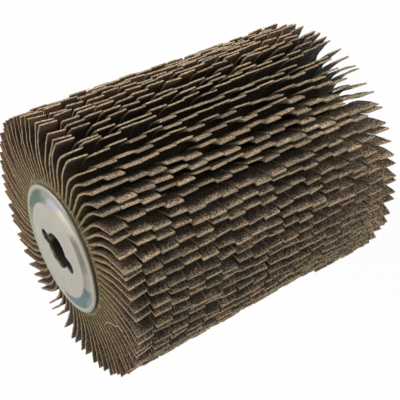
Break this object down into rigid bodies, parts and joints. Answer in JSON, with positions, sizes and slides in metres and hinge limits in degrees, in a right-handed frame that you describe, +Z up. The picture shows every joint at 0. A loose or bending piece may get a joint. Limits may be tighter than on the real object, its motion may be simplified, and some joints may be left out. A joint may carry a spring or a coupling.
{
  "type": "flap wheel",
  "caption": "Drum-shaped flap wheel: slit abrasive cloth flaps that lean one way, cast in resin between two pressed steel end flanges with a keyed bore.",
  "frame": {"origin": "on the spindle axis, in the plane of the lower flange's outer face, which the wheel stands on", "axes": "+Z up along the spindle bore; +X along the drive notches of both flanges"},
  "size_m": [0.1009, 0.1013, 0.12],
  "materials": {
    "flange_steel": "pressed sheet steel, bright zinc plating with faint tints",
    "sleeve": "dark moulded phenolic, satin",
    "resin": "cast adhesive, yellow-olive, uneven gloss",
    "abrasive_cloth": "stiff cloth with brown aluminium oxide grain, light cut edges"
  },
  "bodies": {
    "root": {"upper_flange": "flange_steel", "lower_flange": "flange_steel", "hub_sleeve": "sleeve", "resin_core": "resin", "flaps_01": "abrasive_cloth", "flaps_02": "abrasive_cloth", "flaps_03": "abrasive_cloth", "flaps_04": "abrasive_cloth", "flaps_05": "abrasive_cloth", "flaps_06": "abrasive_cloth", "flaps_07": "abrasive_cloth", "flaps_08": "abrasive_cloth", "flaps_09": "abrasive_cloth", "flaps_10": "abrasive_cloth", "flaps_11": "abrasive_cloth", "flaps_12": "abrasive_cloth", "flaps_13": "abrasive_cloth", "flaps_14": "abrasive_cloth", "flaps_15": "abrasive_cloth", "flaps_16": "abrasive_cloth", "flaps_17": "abrasive_cloth", "flaps_18": "abrasive_cloth", "flaps_19": "abrasive_cloth", "flaps_20": "abrasive_cloth", "flaps_21": "abrasive_cloth", "flaps_22": "abrasive_cloth", "flaps_23": "abrasive_cloth", "flaps_24": "abrasive_cloth", "flaps_25": "abrasive_cloth", "flaps_26": "abrasive_cloth", "flaps_27": "abrasive_cloth", "flaps_28": "abrasive_cloth", "flaps_29": "abrasive_cloth", "flaps_30": "abrasive_cloth", "flaps_31": "abrasive_cloth", "flaps_32": "abrasive_cloth", "flaps_33": "abrasive_cloth", "flaps_34": "abrasive_cloth", "flaps_35": "abrasive_cloth", "flaps_36": "abrasive_cloth"}
  },
  "joints": []
}
